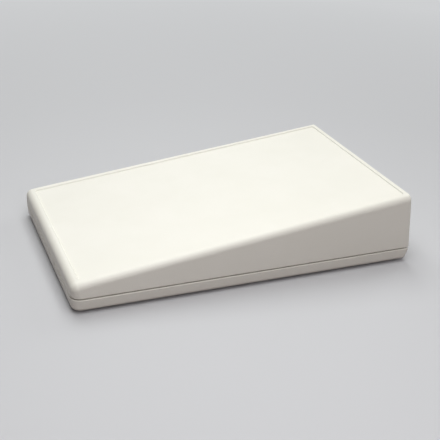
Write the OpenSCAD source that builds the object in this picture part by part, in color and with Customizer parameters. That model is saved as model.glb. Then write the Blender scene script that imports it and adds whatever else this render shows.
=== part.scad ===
// Desktop console enclosure: a sloped moulded cover on a shallow tray, closed at the rear by a flat panel.
// Millimetres, +Z up, +Y towards the rear, origin on the table under the middle of the parting outline.

/* [Case] */
// Length from front to rear at the parting line
case_l = 210; // [180:1:250]
// Width at the parting line
case_w = 137; // [120:1:170]
// Height of the sloped top above the tray's underside at the front end
front_h = 16.7; // [16:0.1:21]
// Height of the sloped top above the tray's underside at the rear end
rear_h = 42.7; // [36:0.1:56]
// Height of the tray from its underside to the parting line
tray_h = 7.6; // [7:0.1:8.6]
// Shadow gap between the cover and the tray
parting_gap = 0.8; // [0.4:0.05:1]

/* [Walls] */
// Thickness of the side and front walls
wall_t = 2.4; // [2:0.1:3]
// Thickness of the sloped top
top_t = 2.6; // [2.2:0.1:3.2]
// Thickness of the tray's floor
floor_t = 2.4; // [2:0.1:2.8]
// Draft of the cover's walls, in degrees
cover_draft = 2.5; // [1:0.1:4]
// Draft of the tray's walls, in degrees
tray_draft = 3.4; // [1:0.1:5]

/* [Edges] */
// Radius of the rounded long edges beside the top
long_edge_r = 4; // [3:0.1:5]
// Radius of the rounded edge between top and front
front_edge_r = 4.4; // [4:0.1:6]
// Radius of the upright corners at the front, in plan
front_corner_r = 6.2; // [5.6:0.1:8]
// Radius of the crisp edges round the rear end
rear_edge_r = 0.6; // [0.4:0.1:0.9]
// Radius of the tray's bottom edge
bottom_edge_r = 2.8; // [2:0.1:3.4]
// Edge break on both sides of the parting line
parting_break = 0.3; // [0.15:0.05:0.4]

/* [Recess in the top] */
// Depth of the recess for an overlay or keypad
recess_d = 0.8; // [0.4:0.05:1]
// Run of the recess's sloped wall, seen from above
recess_run = 0.5; // [0.3:0.05:0.8]
// Distance of the recess from the case's sides
recess_side = 6.4; // [6.2:0.1:12]
// Distance of the recess from the case's front
recess_front = 5.3; // [5:0.1:14]
// Distance of the recess from the case's rear
recess_rear = 3.9; // [3.6:0.1:12]
// Corner radius of the recess, in plan
recess_corner_r = 1.5; // [1:0.1:4]

/* [Tongue at the parting line] */
// Thickness of the tray's tongue
tongue_t = 1.2; // [0.9:0.05:1.3]
// Height of the tongue above the parting line
tongue_h = 2.6; // [1.8:0.1:3.2]
// Clearance of the tongue in the cover's rebate
tongue_gap = 0.2; // [0.1:0.05:0.3]

/* [Rear panel] */
// Thickness of the panel
panel_t = 2; // [1.5:0.1:2.5]
// Clearance round the panel in its slot
panel_gap = 0.15; // [0.1:0.05:0.3]
// How far the slot's lips overlap the panel's edge
slot_lip = 2; // [1.5:0.1:2.5]
// Thickness of the rear lip at the top
rear_lip_t = 1.6; // [1.3:0.1:2.4]
// How much rounder the panel's upper corners are than the slot's
panel_corner_extra = 1; // [0.8:0.1:2]
// Thickness of the slot's inner rib
slot_rib_t = 1.5; // [1.2:0.1:2]
// Height of the slot's rib above the tray's floor
slot_rib_h = 4; // [2.5:0.1:4.2]

/* [Screws and posts] */
// Distance of the screws from the case's sides
screw_side = 10.5; // [10:0.1:16]
// Distance of the front screws from the case's front
screw_front = 12; // [11.5:0.1:18]
// Distance of the rear screws from the panel's slot
screw_rear = 12.5; // [10:0.1:24]
// Diameter of the cover's screw posts
boss_d = 7.5; // [6.5:0.1:8.5]
// Diameter of the tray's screw columns
column_d = 9.5; // [9:0.1:10.5]
// Thickness of the plastic that a screw clamps
clamp_t = 2; // [1.6:0.1:2.4]
// Diameter of the pilot bore in a screw post
pilot_d = 2.5; // [2.3:0.05:2.7]
// Depth of the pilot bore
pilot_l = 8.5; // [8.2:0.1:9]
// Thickness of the web between a screw post and the side wall
web_t = 1.8; // [1.4:0.1:2.4]
// Diameter of a screw's head
head_d = 5.6; // [5:0.1:6]
// Height of a screw's head
head_h = 2.2; // [1.8:0.1:2.4]
// Bevel round a screw's head
head_bevel = 0.7; // [0.4:0.1:0.9]
// Length of each arm-to-arm slot of a screw's cross recess
cross_l = 3.1; // [2.6:0.1:3.4]
// Width of the cross recess's slots
cross_w = 0.9; // [0.7:0.1:1.1]
// Depth of the cross recess
cross_d = 1.2; // [0.9:0.1:1.4]
// Diameter of a screw's shank at the thread's root
shank_d = 2.4; // [2:0.05:2.4]
// Length of a screw under its head
shank_l = 9.5; // [8.5:0.1:9.8]
// Length of a screw's point
tip_l = 2.4; // [1.6:0.1:3]
// Diameter of the end of a screw's point
tip_d = 0.6; // [0.4:0.1:1]
// How far the screw heads lie below the tray's underside
head_sink = 0.8; // [0.4:0.1:1]
// Clearance round a screw's head and shank
screw_gap = 0.4; // [0.25:0.05:0.5]

/* [Posts for a circuit board] */
// Spacing of the board posts across the case
post_dx = 100; // [80:1:104]
// Spacing of the board posts along the case
post_dy = 150; // [110:1:152]
// Diameter of a board post
post_d = 6.5; // [5.5:0.1:7.5]
// Height of a board post above the floor
post_h = 5; // [4:0.1:6]
// Diameter of the pilot bore in a board post
post_pilot_d = 2.5; // [2:0.05:3]
// Depth of the pilot bore in a board post
post_pilot_l = 5; // [4:0.1:5.5]

/* [Feet] */
// Diameter of a foot
foot_d = 12.5; // [10:0.1:13.5]
// How far the feet stand out below the tray
foot_out = 1.5; // [1:0.1:2.5]
// Depth of the pocket that a foot sits in
foot_pocket = 1.2; // [0.8:0.1:1.3]
// Clearance round a foot in its pocket
foot_gap = 0.2; // [0.1:0.05:0.4]
// Radius of a foot's lower edge
foot_edge_r = 0.8; // [0.4:0.1:1]
// Distance of the feet from the screws beside them
foot_from_screw = 14; // [13:0.1:24]

/* [Hidden] */

// Segments of the rounded corners that the shells are stretched over
form_fn = 32;
// Segments of bores, posts, screws and feet
round_fn = 48;
// How far a cut runs past the face that it opens
cut = 1;
// How far one feature is rooted in the wall that carries it
root = 0.3;
// Smallest inner corner radius of the mouldings
inner_r = 1;
// Size of the points that sharp corners are stretched over
speck = 0.01;

// Levels
tray_z = foot_out;
floor_z = tray_z + floor_t;
part_z = tray_z + tray_h;
cover_z = part_z + parting_gap;
tongue_z = part_z + tongue_h;
head_z = tray_z + head_sink + head_h;
joint_z = head_z + clamp_t;
post_z = floor_z + post_h;

// Ends of the parting outline and slope of the top
front_y = -case_l / 2;
rear_y = case_l / 2;
slope = atan((rear_h - front_h) / case_l);

// Walls of the cover: height of the top at y, half width and rear end at height z
function top_z(y) = tray_z + front_h + (y - front_y) * tan(slope);
function side_x(z) = case_w / 2 - (z - part_z) * tan(cover_draft);
function end_y(z) = rear_y - (z - part_z) * tan(cover_draft);

// Half width of the tray at height z
function tray_x(z) = case_w / 2 - (part_z - z) * tan(tray_draft);

// Centre of a ball of radius r that touches the top, moved down by drop, and the side, moved in by inset
function ball_z(y, r, drop) = top_z(y) - drop - r / cos(slope);
function ball_x(z, r, inset) = side_x(z) - inset - r / cos(cover_draft);
function ball_at(y, r, inset, drop) =
    let (z = ball_z(y, r, drop))
    [ball_x(z, r, inset), y, z];

// Place along the case of a ball that also touches the front wall, and of one that touches the rear end
function front_ball_y(r, inset, drop) =
    let (reach = inset + r / cos(cover_draft))
    let (rise = ball_z(front_y, r, drop) - part_z)
    front_y + (reach + rise * tan(cover_draft)) / (1 - tan(slope) * tan(cover_draft));
function rear_disc_y(r, edge) =
    let (rise = ball_z(rear_y, r, 0) - part_z)
    rear_y - (edge / cos(cover_draft) + rise * tan(cover_draft)) / (1 + tan(slope) * tan(cover_draft));

// Slot of the rear panel
slot_end_y = end_y(top_z(rear_y)) - rear_lip_t;
slot_start_y = slot_end_y - panel_t - 2 * panel_gap;
rib_y = slot_start_y - slot_rib_t;
panel_top_z = top_z(slot_start_y) - top_t - 2 * panel_gap;

// Screws, board posts and feet
screw_x = case_w / 2 - screw_side;
screw_front_y = front_y + screw_front;
screw_rear_y = rib_y - screw_rear;
screw_places = [for (x = [-screw_x, screw_x], y = [screw_front_y, screw_rear_y]) [x, y]];
post_places = [for (x = [-1, 1] * post_dx / 2, y = [-1, 1] * post_dy / 2) [x, y]];
foot_x = screw_x - foot_from_screw;
foot_places = [for (x = [-foot_x, foot_x], y = [screw_front_y, screw_rear_y]) [x, y]];
head_hole_d = head_d + 2 * screw_gap;
shank_hole_d = shank_d + 2 * screw_gap;

// Plan outline of the case at the parting line, moved in by inset
module outline(inset) {
    corner_r = max(front_corner_r - inset, inner_r);
    hull()
        for (side = [-1, 1]) {
            translate([side * (case_w / 2 - inset - corner_r), front_y + inset + corner_r])
                circle(corner_r, $fn = form_fn);
            translate([side * (case_w / 2 - inset - rear_edge_r), rear_y - inset - rear_edge_r])
                circle(rear_edge_r, $fn = form_fn);
        }
}

// Ring with a round section, lying flat: outer radius r, section radius edge
module round_ring(r, edge) {
    rotate_extrude($fn = form_fn)
        intersection() {
            translate([r - edge, 0])
                circle(edge, $fn = form_fn);
            translate([0, -edge])
                square([r, 2 * edge]);
        }
}

// Outside of the cover: drafted walls, rounded front and long edges, crisp rear end
module cover_outside() {
    front_ball = ball_at(front_ball_y(front_edge_r, 0, 0), front_edge_r, 0, 0);
    long_ball = ball_at(front_ball[1] + front_edge_r, long_edge_r, 0, 0);
    rear_disc = ball_at(rear_disc_y(long_edge_r, rear_edge_r), long_edge_r, 0, 0);
    intersection() {
        hull()
            for (side = [0, 1])
                mirror([side, 0, 0]) {
                    translate([case_w / 2 - front_corner_r, front_y + front_corner_r, cover_z])
                        cylinder(parting_break, front_corner_r - parting_break, front_corner_r, $fn = form_fn);
                    translate([case_w / 2 - rear_edge_r, rear_y - rear_edge_r, cover_z])
                        cylinder(parting_break, rear_edge_r - parting_break, rear_edge_r, $fn = form_fn);
                    translate(front_ball)
                        sphere(front_edge_r, $fn = form_fn);
                    translate(long_ball)
                        sphere(long_edge_r, $fn = form_fn);
                    translate(rear_disc)
                        rotate([cover_draft - 90, 0, 0])
                            round_ring(long_edge_r, rear_edge_r);
                }
        translate([-case_w, -case_l, cover_z])
            cube([2 * case_w, 2 * case_l, rear_h]);
    }
}

// Room inside the cover, moved in by inset from the walls and by drop from the top, open below and at the rear
module cover_inside(inset, drop) {
    edge_r = max(long_edge_r - inset, inner_r);
    corner_r = max(front_corner_r - inset, inner_r);
    front_ball = ball_at(front_ball_y(edge_r, inset, drop), edge_r, inset, drop);
    rear_ball = ball_at(rear_y + edge_r + cut, edge_r, inset, drop);
    hull()
        for (side = [0, 1])
            mirror([side, 0, 0]) {
                translate([case_w / 2 - inset - corner_r, front_y + inset + corner_r, part_z - cut])
                    cylinder(cut, corner_r, corner_r, $fn = form_fn);
                translate([case_w / 2 - inset - speck, rear_ball[1], part_z - cut])
                    cube([speck, edge_r, cut]);
                translate(front_ball)
                    sphere(edge_r, $fn = form_fn);
                translate(rear_ball)
                    sphere(edge_r, $fn = form_fn);
            }
}

// Slab across the whole case from y0 to y1
module slab(y0, y1) {
    translate([-case_w, y0, 0])
        cube([2 * case_w, y1 - y0, rear_h + case_l]);
}

// Recess in the sloped top with drafted walls, as a block to cut away
module top_recess() {
    x = case_w / 2 - recess_side - recess_corner_r;
    y0 = (front_y + recess_front) / cos(slope) + recess_corner_r;
    y1 = (rear_y - recess_rear) / cos(slope) - recess_corner_r;
    low_r = recess_corner_r - recess_run;
    high_r = recess_corner_r + cut * recess_run / recess_d;
    translate([0, 0, top_z(0)])
        rotate([slope, 0, 0])
            translate([0, 0, -recess_d])
                hull()
                    for (corner_x = [-x, x], corner_y = [y0, y1])
                        translate([corner_x, corner_y])
                            cylinder(recess_d + cut, low_r, high_r, $fn = form_fn);
}

// Screw post of the cover with its web to the side wall
module screw_boss(place) {
    top = top_z(place[1]) - top_t + boss_d / 2 * tan(slope) + root;
    web_z0 = tongue_z + 2 * tongue_gap;
    web_z1 = top_z(place[1]) - long_edge_r - inner_r;
    translate([place[0], place[1], joint_z])
        cylinder(top - joint_z, d = boss_d, $fn = round_fn);
    mirror([place[0] < 0 ? 1 : 0, 0, 0])
        translate([0, place[1] + web_t / 2, 0])
            rotate([90, 0, 0])
                linear_extrude(web_t)
                    polygon([
                        [screw_x, web_z0],
                        [side_x(web_z0) - wall_t + root, web_z0],
                        [side_x(web_z1) - wall_t + root, web_z1],
                        [screw_x, web_z1]]);
}

// Sloped cover: shell, recess, slot for the panel, rebate for the tongue, screw posts
module top_cover() {
    color("ivory")
        difference() {
            union() {
                difference() {
                    cover_outside();
                    intersection() {
                        cover_inside(wall_t, top_t);
                        union() {
                            slab(front_y, rib_y);
                            slab(slot_start_y, slot_end_y);
                        }
                    }
                    cover_inside(wall_t + slot_lip, top_t + slot_lip);
                    translate([0, 0, part_z])
                        linear_extrude(tongue_h + tongue_gap)
                            intersection() {
                                outline(wall_t - tongue_t - tongue_gap);
                                translate([-case_w / 2, front_y])
                                    square([case_w, rib_y - front_y]);
                            }
                    top_recess();
                }
                for (place = screw_places)
                    screw_boss(place);
            }
            for (place = screw_places)
                translate([place[0], place[1], joint_z - cut])
                    cylinder(pilot_l + cut, d = pilot_d, $fn = round_fn);
        }
}

// Outside of the tray: drafted rim with a rounded bottom edge
module tray_outside() {
    low_r = front_corner_r - (case_w / 2 - tray_x(tray_z));
    rear_low = tray_x(tray_z + bottom_edge_r) - case_w / 2 - bottom_edge_r;
    hull()
        for (side = [0, 1])
            mirror([side, 0, 0]) {
                translate([case_w / 2 - front_corner_r, front_y + front_corner_r, part_z - parting_break])
                    cylinder(parting_break, front_corner_r, front_corner_r - parting_break, $fn = form_fn);
                translate([case_w / 2 - rear_edge_r, rear_y - rear_edge_r, part_z - parting_break])
                    cylinder(parting_break, rear_edge_r, rear_edge_r - parting_break, $fn = form_fn);
                translate([case_w / 2 - front_corner_r, front_y + front_corner_r, tray_z + bottom_edge_r])
                    round_ring(low_r, bottom_edge_r);
                translate([case_w / 2 + rear_low, rear_y + rear_low, tray_z + bottom_edge_r])
                    sphere(bottom_edge_r, $fn = form_fn);
            }
}

// Room inside the tray, open at the top, up to the rear face of the panel's slot
module tray_inside() {
    taper = case_w / 2 - tray_x(floor_z);
    corner_r = front_corner_r - wall_t;
    hull()
        for (side = [0, 1])
            mirror([side, 0, 0]) {
                translate([case_w / 2 - front_corner_r, front_y + front_corner_r, floor_z])
                    cylinder(part_z - floor_z, corner_r - taper, corner_r, $fn = form_fn);
                translate([case_w / 2 - front_corner_r, front_y + front_corner_r, part_z])
                    cylinder(cut, corner_r, corner_r, $fn = form_fn);
                translate([case_w / 2 - wall_t - taper - speck, slot_end_y - speck, floor_z])
                    cube(speck);
                translate([case_w / 2 - wall_t - speck, slot_end_y - speck, part_z])
                    cube([speck, speck, cut]);
            }
}

// Tongue on the tray's rim, in front of the panel's slot
module tongue() {
    translate([0, 0, part_z - root])
        linear_extrude(tongue_h + root)
            difference() {
                outline(wall_t - tongue_t);
                outline(wall_t);
                translate([-case_w / 2, rib_y - 2 * tongue_gap])
                    square([case_w, case_l]);
            }
}

// Shallow tray: shell, tongue, panel rib, screw columns, board posts, foot pockets
module base_tray() {
    color("ivory")
        difference() {
            union() {
                difference() {
                    tray_outside();
                    tray_inside();
                }
                tongue();
                translate([-tray_x(floor_z) + wall_t - root, rib_y, floor_z - root])
                    cube([2 * (tray_x(floor_z) - wall_t + root), slot_rib_t, slot_rib_h + root]);
                for (place = screw_places)
                    translate([place[0], place[1], floor_z - root])
                        cylinder(joint_z - floor_z + root, d = column_d, $fn = round_fn);
                for (place = post_places)
                    translate([place[0], place[1], floor_z - root])
                        cylinder(post_h + root, d = post_d, $fn = round_fn);
            }
            for (place = screw_places)
                translate([place[0], place[1], 0]) {
                    cylinder(head_z, d = head_hole_d, $fn = round_fn);
                    cylinder(joint_z + cut, d = shank_hole_d, $fn = round_fn);
                }
            for (place = post_places)
                translate([place[0], place[1], post_z - post_pilot_l])
                    cylinder(post_pilot_l + cut, d = post_pilot_d, $fn = round_fn);
            for (place = foot_places)
                translate([place[0], place[1], 0])
                    cylinder(tray_z + foot_pocket, d = foot_d + 2 * foot_gap, $fn = round_fn);
        }
}

// Flat panel standing in the slots of the cover and the tray
module rear_panel() {
    corner_r = max(long_edge_r - wall_t, inner_r) + panel_corner_extra;
    corner_z = panel_top_z - corner_r;
    corner_x = side_x(corner_z) - wall_t - panel_gap - corner_r / cos(cover_draft);
    color("ivory")
        translate([0, slot_end_y - panel_gap, 0])
            rotate([90, 0, 0])
                linear_extrude(panel_t)
                    hull()
                        for (side = [0, 1])
                            mirror([side, 0]) {
                                translate([corner_x, corner_z])
                                    circle(corner_r, $fn = form_fn);
                                translate([0, part_z])
                                    square([case_w / 2 - wall_t - panel_gap, speck]);
                                translate([0, floor_z])
                                    square([tray_x(floor_z) - wall_t - panel_gap, speck]);
                            }
}

// Self-tapping screw with a pan head and a cross recess, head down
module screw() {
    difference() {
        union() {
            translate([0, 0, head_bevel - head_h])
                cylinder(head_h - head_bevel, d = head_d, $fn = round_fn);
            translate([0, 0, -head_h])
                cylinder(head_bevel, d1 = head_d - 2 * head_bevel, d2 = head_d, $fn = round_fn);
            cylinder(shank_l - tip_l, d = shank_d, $fn = round_fn);
            translate([0, 0, shank_l - tip_l])
                cylinder(tip_l, d1 = shank_d, d2 = tip_d, $fn = round_fn);
        }
        for (turn = [0, 90])
            rotate(turn)
                translate([-cross_l / 2, -cross_w / 2, -head_h - cut])
                    cube([cross_l, cross_w, cross_d + cut]);
    }
}

// The four screws that hold the cover down
module case_screws() {
    color("silver")
        for (place = screw_places)
            translate([place[0], place[1], head_z])
                screw();
}

// Stick-on rubber foot in its pocket
module foot(place) {
    height = foot_out + foot_pocket;
    color("dimgray")
        translate([place[0], place[1], 0])
            rotate_extrude($fn = round_fn) {
                square([foot_d / 2 - foot_edge_r, height]);
                translate([0, foot_edge_r])
                    square([foot_d / 2, height - foot_edge_r]);
                translate([foot_d / 2 - foot_edge_r, foot_edge_r])
                    intersection() {
                        circle(foot_edge_r, $fn = round_fn);
                        translate([0, -foot_edge_r])
                            square(2 * foot_edge_r);
                    }
            }
}

top_cover();
base_tray();
rear_panel();
case_screws();
foot(foot_places[0]);  // foot_front_left
foot(foot_places[2]);  // foot_front_right
foot(foot_places[1]);  // foot_rear_left
foot(foot_places[3]);  // foot_rear_right
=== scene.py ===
"""Looks of the console enclosure: mouldings, rear panel, screws and feet on a pale studio floor."""

import math

import bmesh
import bpy
from mathutils import Matrix, Vector


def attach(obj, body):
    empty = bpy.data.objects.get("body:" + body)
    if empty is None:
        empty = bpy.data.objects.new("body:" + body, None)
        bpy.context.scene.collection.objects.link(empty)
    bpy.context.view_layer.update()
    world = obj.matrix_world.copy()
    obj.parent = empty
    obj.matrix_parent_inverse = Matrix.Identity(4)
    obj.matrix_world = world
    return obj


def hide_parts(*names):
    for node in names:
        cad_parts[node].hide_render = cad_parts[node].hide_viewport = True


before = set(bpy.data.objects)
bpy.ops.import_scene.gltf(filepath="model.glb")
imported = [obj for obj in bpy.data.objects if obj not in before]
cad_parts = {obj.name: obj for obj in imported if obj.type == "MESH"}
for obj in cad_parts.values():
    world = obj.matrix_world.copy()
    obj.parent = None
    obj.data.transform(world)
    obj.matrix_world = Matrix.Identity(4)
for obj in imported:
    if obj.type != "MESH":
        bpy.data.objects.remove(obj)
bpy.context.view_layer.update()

MM = 0.001

# Camera, from the edges of the case in the photograph: angles in degrees, lengths in metres
CAMERA_AZIMUTH = 67.961
CAMERA_ELEVATION = 25.727
CAMERA_ROLL = 2.125
CAMERA_TARGET = Vector((0.0, 0.0, 0.024))
CAMERA_DISTANCE = 0.57156
CAMERA_RIGHT = 0.006733
CAMERA_UP = -0.011138
CAMERA_HALF_PIXEL = 0.000316
CAMERA_LENS_MM = 73.917
CAMERA_SENSOR_MM = 36.0
CAMERA_CLIP = (0.01, 50.0)

# Mouldings: welding distance, angle under which faces count as flat, angles over which an edge
# stays sharp and over which a rim is broken, likeness of two directions, and the break itself
WELD = 8e-6
FLAT_ANGLE = math.radians(0.4)
SHARP_ANGLE = math.radians(32)
RIM_ANGLE = math.radians(45)
SAME_SIDE = 0.9995
EDGE_BREAK = 0.15 * MM
EDGE_BREAK_STEPS = 3

# Sides of the mouldings whose rims are broken: the sloped top, the drafted rear, the underside
TOP_RISE_MM = 26.0
TOP_LENGTH_MM = 210.0
TOP_SLOPE = math.atan2(TOP_RISE_MM, TOP_LENGTH_MM)
TOP_SIDE = Vector((0.0, -math.sin(TOP_SLOPE), math.cos(TOP_SLOPE)))
REAR_DRAFT = math.radians(2.5)
REAR_SIDE = Vector((0.0, math.cos(REAR_DRAFT), math.sin(REAR_DRAFT)))
UNDERSIDE = Vector((0.0, 0.0, -1.0))

# Screws, in millimetres from the seat of the head, the shank pointing up
HEAD_R = 2.8
HEAD_H = 2.2
HEAD_RIM = 0.08
HEAD_BAND = 0.8
HEAD_ROUND = 2.4
DOME_STEPS = (1.0, 0.985, 0.95, 0.9, 0.82, 0.72, 0.64)
CROSS_REACH = 1.55
CROSS_HALF_W = 0.45
CROSS_FLOOR = 0.58
CROSS_DEPTH = 1.2
CROSS_CONE = 0.15
CROSS_LIP = 0.06
CROSS_STEPS = 6
JOIN = 0.1
CORE_R = 0.92
SHANK_R = 1.2
SHANK_L = 9.5
NECK_L = 1.0
NECK_TAPER = 0.4
TIP_L = 2.4
TIP_R = 0.3
THREAD_H = 0.29
THREAD_W = 0.5
THREAD_CREST = 0.04
THREAD_PITCH = 1.06
THREAD_STEPS = 28
THREAD_FADE_STEPS = 14
THREAD_END = 0.6

# Plastic and its grain
PLASTIC_IOR = 1.52
NOISE_RANGE = (0.3, 0.7)
SPECK_SHADE = 0.965

# Floor and surroundings: what the camera sees, and what they give to the object as light
FLOOR_HALF = 9.0
FLOOR_Z = -2e-5
FLOOR_FADE = (0.28, 0.75)
FLOOR_SEEN = (0.60, 0.61, 0.62, 1.0)
FLOOR_GIVEN = (0.275, 0.248, 0.254, 1.0)
WORLD_SEEN = (0.62, 0.63, 0.64, 1.0)
WORLD_GIVEN = (0.102, 0.094, 0.096, 1.0)

# Glow of the floor under the case, which shows the underside to a camera below: half width,
# half length, soft edge and strength; only light at its first bounce meets it
UNDER_HALF_X = 0.0640
UNDER_HALF_Y = 0.1005
UNDER_EDGE = 0.004
UNDER_GLOW = 0.7
FIRST_BOUNCE = 1.0
BOUNCE_MARGIN = 0.5

# Soft boxes round the case, fitted to the tones in the photograph: name, place, edge length,
# power in watts, colour
LIT_POINT = Vector((0.0, 0.0, 0.02))
NEUTRAL = (1.0, 1.0, 1.0)
FILL_TINT = (1.0, 0.95, 0.985)
KEY_TINT = (0.988, 1.0, 0.99)
SOFT_BOXES = (
    ("key_far_side", (-0.50, 0.0, 0.98), 0.8, 6.5, KEY_TINT),
    ("fill_above", (0.16, -0.05, 0.50), 0.35, 1.07, NEUTRAL),
    ("fill_near_side", (0.70, -0.10, 0.55), 0.5, 1.94, FILL_TINT),
    ("rim_rear", (-0.40, 0.85, 0.55), 0.5, 1.45, NEUTRAL),
    ("rim_far_side", (-0.85, 0.10, 0.45), 0.5, 0.5, NEUTRAL),
)


def add_object(name, data):
    """A new object in the scene."""
    made = bpy.data.objects.new(name, data)
    bpy.context.scene.collection.objects.link(made)
    return made


def empty_tree(owner):
    """The node tree of a material or a world, switched on and emptied."""
    owner.use_nodes = True
    owner.node_tree.nodes.clear()
    return owner.node_tree


def add_node(tree, kind, inputs=None, **settings):
    """Adds a shader node, with its settings, and its inputs linked to sockets or set to values."""
    made = tree.nodes.new("ShaderNode" + kind)
    for key, value in settings.items():
        setattr(made, key, value)
    for key, value in (inputs or {}).items():
        if isinstance(value, bpy.types.NodeSocket):
            tree.links.new(value, made.inputs[key])
        else:
            made.inputs[key].default_value = value
    return made


def calculate(tree, operation, *values):
    """The result of a Math node."""
    return add_node(tree, "Math", dict(enumerate(values)), operation=operation).outputs[0]


def spread(tree, value, low, high, to_low=0.0, to_high=1.0):
    """Maps low..high to to_low..to_high, clamped."""
    return add_node(tree, "MapRange", {
        "Value": value, "From Min": low, "From Max": high, "To Min": to_low, "To Max": to_high,
    }).outputs["Result"]


def blend_colour(tree, factor, first, second):
    """First colour at factor 0, second at factor 1; each a socket or a colour."""
    inputs = {0: factor, 6: first, 7: second}
    return add_node(tree, "Mix", inputs, data_type="RGBA").outputs[2]


def new_material(name):
    """An empty node material, with its tree, its Principled shader and its place in millimetres."""
    material = bpy.data.materials.new(name)
    tree = empty_tree(material)
    shader = add_node(tree, "BsdfPrincipled")
    add_node(tree, "OutputMaterial", {"Surface": shader.outputs["BSDF"]})
    own = add_node(tree, "TexCoord").outputs["Object"]
    place = add_node(tree, "VectorMath", {0: own, "Scale": 1 / MM}, operation="SCALE").outputs[0]
    return material, tree, shader, place


def noise(tree, place, per_mm, detail, roughness=0.55):
    """Noise with so many waves to the millimetre."""
    return add_node(tree, "TexNoise", {
        "Vector": place, "Scale": per_mm, "Detail": detail, "Roughness": roughness}).outputs[0]


def edge_mask(tree, radius, reach):
    """0 on flat faces, rising to 1 on outer and inner edges."""
    soft = add_node(tree, "Bevel", {"Radius": radius}, samples=6).outputs["Normal"]
    face = add_node(tree, "NewGeometry").outputs["Normal"]
    same = add_node(tree, "VectorMath", {0: soft, 1: face}, operation="DOT_PRODUCT")
    return spread(tree, same.outputs["Value"], 1.0, 1.0 - reach)


def crevice_mask(tree, distance, low, high):
    """1 deep in joints and corners, where ambient occlusion puts shade; 0 in the open."""
    shade = add_node(tree, "AmbientOcclusion", {"Distance": distance}, samples=8, only_local=False)
    return spread(tree, shade.outputs["AO"], low, high, 1.0, 0.0)


def set_roughness(tree, shader, waves, smooth, rough):
    """Lets noise vary the roughness."""
    tree.links.new(spread(tree, waves, *NOISE_RANGE, smooth, rough), shader.inputs["Roughness"])


def bump(tree, height, strength, depth_mm, under=None):
    """Normals of a relief, on top of another relief where one is given."""
    inputs = {"Height": height, "Strength": strength, "Distance": depth_mm * MM}
    if under is not None:
        inputs["Normal"] = under
    return add_node(tree, "Bump", inputs).outputs["Normal"]


def moulded_plastic(name, dark, light, wear_and_highlight, dust_and_shade, smooth, rough):
    """Off-white moulded plastic: fine eroded texture, faint clouds, edges lightened by painted
    highlight and wear, joints darkened by painted shade and dust.
    """
    material, tree, shader, place = new_material(name)
    clouds = noise(tree, place, per_mm=0.035, detail=2.0)
    base = blend_colour(tree, spread(tree, clouds, *NOISE_RANGE), dark, light)
    specks = noise(tree, place, per_mm=1.3, detail=2.0, roughness=0.7)
    speck_colour = tuple(c * SPECK_SHADE for c in dark[:3]) + (1.0,)
    base = blend_colour(tree, spread(tree, specks, 0.56, 0.74, to_high=0.55), base, speck_colour)
    # Lighter edges, outer and inner alike: a painted edge highlight as well as wear.
    edges = edge_mask(tree, radius=0.5 * MM, reach=0.16)
    base = blend_colour(tree, spread(tree, edges, 0.0, 1.0, to_high=0.2), base, wear_and_highlight)
    # Darker joints and corners where ambient occlusion finds them: painted shade, tinted as dust.
    deep = crevice_mask(tree, distance=1.6 * MM, low=0.18, high=0.50)
    base = blend_colour(tree, spread(tree, deep, 0.0, 1.0, to_high=0.8), base, dust_and_shade)
    tree.links.new(base, shader.inputs["Base Color"])
    set_roughness(tree, shader, noise(tree, place, per_mm=0.16, detail=3.0), smooth, rough)
    shader.inputs["IOR"].default_value = PLASTIC_IOR
    grain = noise(tree, place, per_mm=3.4, detail=3.0, roughness=0.6)
    cells = add_node(
        tree, "TexVoronoi", {"Vector": place, "Scale": 2.3, "Smoothness": 0.8}, feature="SMOOTH_F1")
    height = calculate(tree, "ADD", grain, cells.outputs["Distance"])
    wave = bump(tree, noise(tree, place, per_mm=0.05, detail=1.0), strength=0.25, depth_mm=0.06)
    fine = bump(tree, height, strength=0.30, depth_mm=0.03, under=wave)
    tree.links.new(fine, shader.inputs["Normal"])
    return material


def sheet_plastic(name, dark, light, smooth, rough):
    """Off-white sheet plastic with a pressed haircell grain."""
    material, tree, shader, place = new_material(name)
    clouds = noise(tree, place, per_mm=0.05, detail=2.0)
    base = blend_colour(tree, spread(tree, clouds, *NOISE_RANGE), dark, light)
    tree.links.new(base, shader.inputs["Base Color"])
    set_roughness(tree, shader, noise(tree, place, per_mm=0.6, detail=3.0), smooth, rough)
    shader.inputs["IOR"].default_value = PLASTIC_IOR
    cells = add_node(
        tree, "TexVoronoi", {"Vector": place, "Scale": 1.1}, feature="DISTANCE_TO_EDGE")
    valleys = spread(tree, cells.outputs["Distance"], 0.0, 0.22)
    height = calculate(tree, "ADD", valleys, noise(tree, place, per_mm=4.0, detail=2.0))
    tree.links.new(bump(tree, height, strength=0.35, depth_mm=0.05), shader.inputs["Normal"])
    return material


def plated_steel(name, dark, light, smooth, rough):
    """Zinc plated steel with fine tool marks and a faint cloudy plating."""
    material, tree, shader, place = new_material(name)
    clouds = noise(tree, place, per_mm=0.9, detail=3.0)
    base = blend_colour(tree, spread(tree, clouds, 0.35, 0.65), dark, light)
    tree.links.new(base, shader.inputs["Base Color"])
    shader.inputs["Metallic"].default_value = 1.0
    marks = noise(tree, place, per_mm=6.0, detail=4.0, roughness=0.65)
    set_roughness(tree, shader, marks, smooth, rough)
    tree.links.new(bump(tree, marks, strength=0.25, depth_mm=0.02), shader.inputs["Normal"])
    return material


def foot_rubber(name, dark, light, smooth, rough):
    """Matte black rubber with a fine grain and a little dust."""
    material, tree, shader, place = new_material(name)
    dust = noise(tree, place, per_mm=0.7, detail=4.0, roughness=0.7)
    base = blend_colour(tree, spread(tree, dust, 0.45, 0.75), dark, light)
    tree.links.new(base, shader.inputs["Base Color"])
    grain = noise(tree, place, per_mm=5.0, detail=3.0, roughness=0.65)
    set_roughness(tree, shader, grain, smooth, rough)
    tree.links.new(bump(tree, grain, strength=0.4, depth_mm=0.04), shader.inputs["Normal"])
    return material


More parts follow.
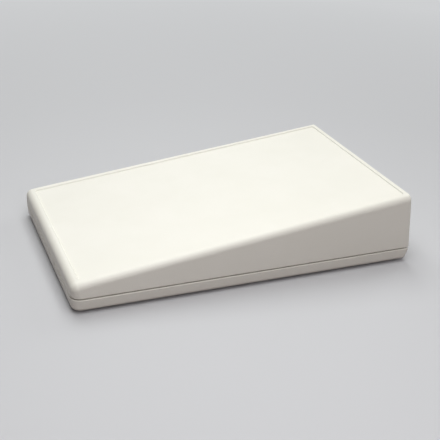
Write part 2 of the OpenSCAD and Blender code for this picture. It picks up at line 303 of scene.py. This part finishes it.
def place_piece(name, form, material, node):
    """Puts a finished form into the scene in the place of its CAD node."""
    for face in form.faces:
        face.smooth = True
        face.material_index = 0
    for edge in form.edges:
        edge.smooth = edge.calc_face_angle(0.0) < SHARP_ANGLE
    mesh = bpy.data.meshes.new(name)
    form.to_mesh(mesh)
    form.free()
    if "custom_normal" in mesh.attributes:
        mesh.attributes.remove(mesh.attributes["custom_normal"])
    mesh.materials.append(material)
    piece = add_object(name, mesh)
    weighted = piece.modifiers.new("even_normals", "WEIGHTED_NORMAL")
    weighted.keep_sharp = True
    weighted.weight = 100
    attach(piece, "root")
    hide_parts(node)


def smooth_moulding(name, node, material, sides):
    """A moulding as one closed skin: the CAD node's form, its rims on the given sides broken."""
    form = bmesh.new()
    form.from_mesh(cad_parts[node].data)
    bmesh.ops.remove_doubles(form, verts=form.verts, dist=WELD)
    bmesh.ops.dissolve_limit(form, angle_limit=FLAT_ANGLE, verts=form.verts, edges=form.edges)
    rims = [
        edge for edge in form.edges
        if edge.is_convex and edge.calc_face_angle(0.0) > RIM_ANGLE
        and any(face.normal.dot(side) > SAME_SIDE for face in edge.link_faces for side in sides)]
    bmesh.ops.bevel(
        form, geom=rims, offset=EDGE_BREAK, offset_type="OFFSET", segments=EDGE_BREAK_STEPS,
        profile=0.5, affect="EDGES", clamp_overlap=False)
    place_piece(name, form, material, node)


def cross_reach(turn, scale):
    """Distance from a screw's axis to the edge of its cross recess, in the direction turn."""
    off = abs((turn + math.pi / 4) % (math.pi / 2) - math.pi / 4)
    across = CROSS_HALF_W / max(math.sin(off), 1e-6)
    return scale * min(CROSS_REACH, across)


def cross_turns():
    """Directions round a screw's axis that follow the corners of its cross recess."""
    corner = math.asin(CROSS_HALF_W / CROSS_REACH)
    inner = CROSS_HALF_W * math.sqrt(2)
    side = [
        math.asin(CROSS_HALF_W / (inner + (CROSS_REACH - inner) * k / CROSS_STEPS))
        for k in range(CROSS_STEPS + 1)]
    half = [0.0, corner / 3, corner * 2 / 3] + sorted(side)
    arm = sorted({-turn for turn in half[1:-1]} | set(half))
    return [turn + quarter * math.pi / 2 for quarter in range(4) for turn in arm]


def dome(r):
    """Height of the pan head's outside at the distance r from its axis."""
    bulge = (1 - (r / HEAD_R) ** HEAD_ROUND) ** (1 / HEAD_ROUND)
    return -HEAD_BAND - (HEAD_H - HEAD_BAND) * bulge


def core_radius(z):
    """Radius of the shank's core at the height z, tapering to the tip."""
    if z < SHANK_L - TIP_L:
        return CORE_R
    return CORE_R + (TIP_R - CORE_R) * (z - SHANK_L + TIP_L) / TIP_L


def skin(form, rings, start, end):
    """Joins rings of points by quads, with a fan to the middle point of each end."""
    made = [[form.verts.new(point) for point in ring] for ring in rings]
    count = len(rings[0])
    for low, high in zip(made, made[1:]):
        for k in range(count):
            form.faces.new((low[k], low[(k + 1) % count], high[(k + 1) % count], high[k]))
    for ring, end_point, flip in ((made[0], start, True), (made[-1], end, False)):
        middle = form.verts.new(end_point)
        for k in range(count):
            a, b = ring[k], ring[(k + 1) % count]
            form.faces.new((b, a, middle) if flip else (a, b, middle))


def on_axis(seat, z):
    """The point of a screw's axis at the height z."""
    return seat + Vector((0.0, 0.0, z)) * MM


def add_head(form, seat):
    """A domed pan head with a cross recess."""
    turns = cross_turns()

    def ring(reach, height):
        return [
            seat + Vector((reach(t) * math.cos(t), reach(t) * math.sin(t), height(reach(t)))) * MM
            for t in turns]

    rings = [
        ring(lambda t: SHANK_R, lambda r: 0.0),
        ring(lambda t: HEAD_R - HEAD_RIM, lambda r: 0.0),
        ring(lambda t: HEAD_R, lambda r: -HEAD_RIM)]
    for part in DOME_STEPS:
        rings.append(ring(lambda t: HEAD_R * part, dome))
    rings.append(ring(lambda t: cross_reach(t, 1.0) + CROSS_LIP, dome))
    rings.append(ring(lambda t: cross_reach(t, 1.0), lambda r: dome(r) + CROSS_LIP))
    rings.append(ring(lambda t: cross_reach(t, CROSS_FLOOR), lambda r: CROSS_DEPTH - HEAD_H))
    skin(form, rings, seat, on_axis(seat, CROSS_DEPTH - HEAD_H + CROSS_CONE))


def add_shank(form, seat):
    """The shank's neck, core and tip."""
    turns = [2 * math.pi * k / THREAD_STEPS for k in range(THREAD_STEPS)]
    outline = (
        (-JOIN, SHANK_R), (NECK_L - NECK_TAPER, SHANK_R), (NECK_L, CORE_R),
        (SHANK_L - TIP_L, CORE_R), (SHANK_L, TIP_R))
    rings = [
        [seat + Vector((r * math.cos(t), r * math.sin(t), z)) * MM for t in turns]
        for z, r in outline]
    skin(form, rings, on_axis(seat, -JOIN), on_axis(seat, SHANK_L))


def add_thread(form, seat):
    """The thread's ridge round the core, fading at both ends."""
    length = SHANK_L - NECK_L - THREAD_END
    steps = int(length / THREAD_PITCH * THREAD_STEPS)
    ridge = []
    for k in range(steps + 1):
        z = NECK_L + length * k / steps
        turn = 2 * math.pi * k / THREAD_STEPS
        crest = THREAD_H * min(1.0, k / THREAD_FADE_STEPS, (steps - k) / THREAD_FADE_STEPS)
        section = (
            (-JOIN, -THREAD_W / 2), (crest, -THREAD_CREST), (crest, THREAD_CREST),
            (-JOIN, THREAD_W / 2))
        out = Vector((math.cos(turn), math.sin(turn), 0.0))
        ridge.append([
            seat + (out * (core_radius(z + dz) + dr) + Vector((0.0, 0.0, z + dz))) * MM
            for dr, dz in section])
    skin(form, ridge, sum(ridge[0], Vector()) / 4, sum(ridge[-1], Vector()) / 4)


def make_screws(name, node, material):
    """The self-tapping case screws in detail, at the places of the CAD node's screws."""
    corners = [vertex.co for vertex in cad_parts[node].data.vertices]
    form = bmesh.new()
    for right in (False, True):
        for rear in (False, True):
            own = [c for c in corners if (c.x > 0) == right and (c.y > 0) == rear]
            low = Vector([min(c[axis] for c in own) for axis in range(3)])
            high = Vector([max(c[axis] for c in own) for axis in range(3)])
            seat = Vector(((low.x + high.x) / 2, (low.y + high.y) / 2, low.z + HEAD_H * MM))
            add_head(form, seat)
            add_shank(form, seat)
            add_thread(form, seat)
    bmesh.ops.recalc_face_normals(form, faces=form.faces)
    place_piece(name, form, material, node)


def dress(node, material):
    """Gives a CAD node its finished material."""
    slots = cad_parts[node].data.materials
    for index in range(len(slots)):
        slots[index] = material


def seen_by_camera(tree):
    """1 for what the camera sees, directly, mirrored or through something clear; 0 for light."""
    path = add_node(tree, "LightPath").outputs
    mirrored = calculate(tree, "MAXIMUM", path["Is Glossy Ray"], path["Is Transmission Ray"])
    return calculate(tree, "MAXIMUM", path["Is Camera Ray"], mirrored)


def under_case(tree, place):
    """1 for what the case's underside gathers at first hand from the floor below it, else 0."""
    depth = add_node(tree, "LightPath").outputs["Ray Depth"]
    mask = calculate(tree, "COMPARE", depth, FIRST_BOUNCE, BOUNCE_MARGIN)
    parts = add_node(tree, "SeparateXYZ", {0: place}).outputs
    for axis, half in (("X", UNDER_HALF_X), ("Y", UNDER_HALF_Y)):
        off = calculate(tree, "ABSOLUTE", parts[axis])
        inside = spread(tree, off, half - UNDER_EDGE, half, 1.0, 0.0)
        mask = calculate(tree, "MULTIPLY", mask, inside)
    return mask


def make_floor():
    """A plain pale floor that fades into the backdrop, clear from below to show the underside."""
    h = FLOOR_HALF
    corners = [(-h, -h, FLOOR_Z), (h, -h, FLOOR_Z), (h, h, FLOOR_Z), (-h, h, FLOOR_Z)]
    mesh = bpy.data.meshes.new("floor")
    mesh.from_pydata(corners, [], [(0, 1, 2, 3)])
    material = bpy.data.materials.new("floor")
    tree = empty_tree(material)
    seen = seen_by_camera(tree)
    place = add_node(tree, "TexCoord").outputs["Object"]
    reach = add_node(tree, "VectorMath", {0: place}, operation="LENGTH").outputs["Value"]
    far = calculate(tree, "MULTIPLY", seen, spread(tree, reach, *FLOOR_FADE))
    colour = blend_colour(tree, seen, FLOOR_GIVEN, FLOOR_SEEN)
    surface = add_node(tree, "BsdfDiffuse", {"Color": colour}).outputs[0]
    backdrop = add_node(tree, "Emission", {"Color": WORLD_SEEN}).outputs[0]
    faded = add_node(tree, "MixShader", {0: far, 1: surface, 2: backdrop}).outputs[0]
    glow = add_node(tree, "Emission", {"Strength": UNDER_GLOW}).outputs[0]
    lit = add_node(tree, "MixShader", {0: under_case(tree, place), 1: faded, 2: glow}).outputs[0]
    below = add_node(tree, "NewGeometry").outputs["Backfacing"]
    clear = add_node(tree, "BsdfTransparent").outputs[0]
    whole = add_node(tree, "MixShader", {0: below, 1: lit, 2: clear}).outputs[0]
    add_node(tree, "OutputMaterial", {"Surface": whole})
    material.cycles.emission_sampling = "NONE"
    mesh.materials.append(material)
    add_object("floor", mesh)


def make_world():
    """Even grey surroundings: pale to the camera and in reflections, weak as a light."""
    world = bpy.data.worlds.new("studio")
    bpy.context.scene.world = world
    tree = empty_tree(world)
    colour = blend_colour(tree, seen_by_camera(tree), WORLD_GIVEN, WORLD_SEEN)
    glow = add_node(tree, "Background", {"Color": colour}).outputs[0]
    add_node(tree, "OutputWorld", {"Surface": glow})


def make_light(name, place, size, power, colour):
    """A square soft box at place, facing the case."""
    lamp = bpy.data.lights.new(name, "AREA")
    lamp.shape = "SQUARE"
    lamp.size = size
    lamp.energy = power
    lamp.color = colour
    light = add_object(name, lamp)
    light.location = place
    light.rotation_euler = (LIT_POINT - Vector(place)).to_track_quat("-Z", "Y").to_euler()


def make_camera():
    """The camera that the photograph was taken with, by the edges of the case."""
    a, e, r = (math.radians(x) for x in (CAMERA_AZIMUTH, CAMERA_ELEVATION, CAMERA_ROLL))
    back = Vector((math.sin(a) * math.cos(e), -math.cos(a) * math.cos(e), math.sin(e)))
    right = Vector((math.cos(a), math.sin(a), 0.0))
    up = back.cross(right)
    rolled_right = right * math.cos(r) + up * math.sin(r)
    rolled_up = up * math.cos(r) - right * math.sin(r)
    place = CAMERA_TARGET + back * CAMERA_DISTANCE + right * CAMERA_RIGHT + up * CAMERA_UP
    place += (rolled_up - rolled_right) * CAMERA_HALF_PIXEL
    data = bpy.data.cameras.new("camera")
    data.lens = CAMERA_LENS_MM
    data.sensor_width = CAMERA_SENSOR_MM
    data.clip_start, data.clip_end = CAMERA_CLIP
    camera = add_object("camera", data)
    axes = Matrix((rolled_right, rolled_up, back)).transposed()
    camera.matrix_world = Matrix.Translation(place) @ axes.to_4x4()
    bpy.context.scene.camera = camera


make_camera()
make_world()
make_floor()
for soft_box in SOFT_BOXES:
    make_light(*soft_box)

case_plastic = moulded_plastic(
    "case_plastic", dark=(0.822, 0.815, 0.728, 1.0), light=(0.842, 0.834, 0.752, 1.0),
    wear_and_highlight=(0.87, 0.865, 0.80, 1.0), dust_and_shade=(0.36, 0.33, 0.28, 1.0), smooth=0.39, rough=0.50)
panel_plastic = sheet_plastic(
    "panel_plastic", dark=(0.80, 0.79, 0.71, 1.0), light=(0.82, 0.81, 0.73, 1.0),
    smooth=0.45, rough=0.57)
screw_steel = plated_steel(
    "screw_steel", dark=(0.58, 0.58, 0.56, 1.0), light=(0.66, 0.66, 0.65, 1.0),
    smooth=0.26, rough=0.44)
rubber = foot_rubber(
    "foot_rubber", dark=(0.030, 0.030, 0.031, 1.0), light=(0.048, 0.047, 0.045, 1.0),
    smooth=0.68, rough=0.88)

smooth_moulding(
    "cover_moulding", "top_cover", case_plastic, (TOP_SIDE, REAR_SIDE))
smooth_moulding("tray_moulding", "base_tray", case_plastic, (UNDERSIDE,))
make_screws("threaded_screws", "case_screws", screw_steel)
dress("rear_panel", panel_plastic)
for foot in ("foot_front_left", "foot_front_right", "foot_rear_left", "foot_rear_right"):
    dress(foot, rubber)

bpy.context.scene.view_settings.view_transform = "Standard"
